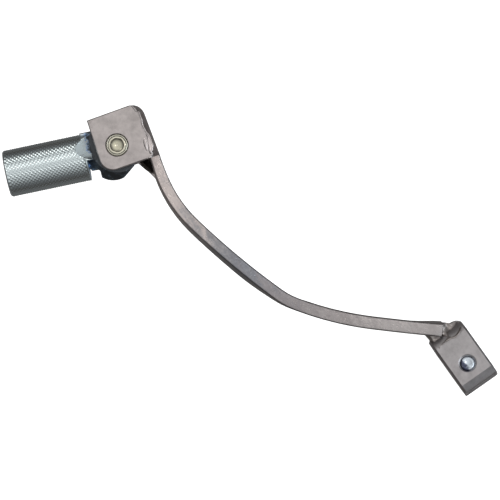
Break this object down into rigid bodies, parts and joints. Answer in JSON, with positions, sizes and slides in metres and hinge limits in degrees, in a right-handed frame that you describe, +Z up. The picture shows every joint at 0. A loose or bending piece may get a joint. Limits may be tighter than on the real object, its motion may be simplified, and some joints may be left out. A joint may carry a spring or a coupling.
{
  "type": "gear shift lever",
  "caption": "Left-side motorcycle gear shift lever: splined clamp boss, S-curved bar and a knurled toe peg on a sprung pivot that folds rearward.",
  "frame": {"origin": "centre of the splined bore, halfway across the clamp boss", "axes": "+X forward along the motorcycle, +Y outboard along the gear shaft, +Z up"},
  "size_m": [0.1919, 0.1217, 0.0339],
  "materials": {
    "forged_steel": "satin silver finish over forged and bead-blasted steel, slightly warm",
    "weld_metal": "rippled weld bead under the same silver finish",
    "bolt_steel": "bright zinc plated fastener",
    "yellow_zinc_steel": "pale yellow zinc plated fastener",
    "bronze": "plain turned bronze",
    "spring_steel": "oiled dark spring wire",
    "zinc_plated_steel": "bright zinc plating, diamond knurled grip"
  },
  "bodies": {
    "lever": {"arm": "forged_steel", "clamp_boss": "forged_steel", "upper_fork_plate": "forged_steel", "lower_fork_plate": "forged_steel", "clamp_weld_inboard": "weld_metal", "clamp_weld_outboard": "weld_metal", "head_weld_upper": "weld_metal", "head_weld_lower": "weld_metal", "pinch_bolt": "bolt_steel", "pinch_washer": "bolt_steel", "pivot_nut": "bolt_steel", "nut_washer": "bolt_steel", "pivot_screw": "yellow_zinc_steel", "thrust_washer_upper": "bronze", "thrust_washer_lower": "bronze", "return_spring": "spring_steel"},
    "toe_tip": {"toe_peg": "zinc_plated_steel"}
  },
  "joints": [
    {"name": "tip_fold", "type": "hinge", "parent": "lever", "child": "toe_tip", "pos_m": [0.1474, 0.0662, 0.0095], "axis": [0, 0, 1], "range_deg": [0, 60], "stiffness_Nm_per_rad": 0.25, "springref_deg": -34.38, "deforming": ["return_spring"]}
  ]
}
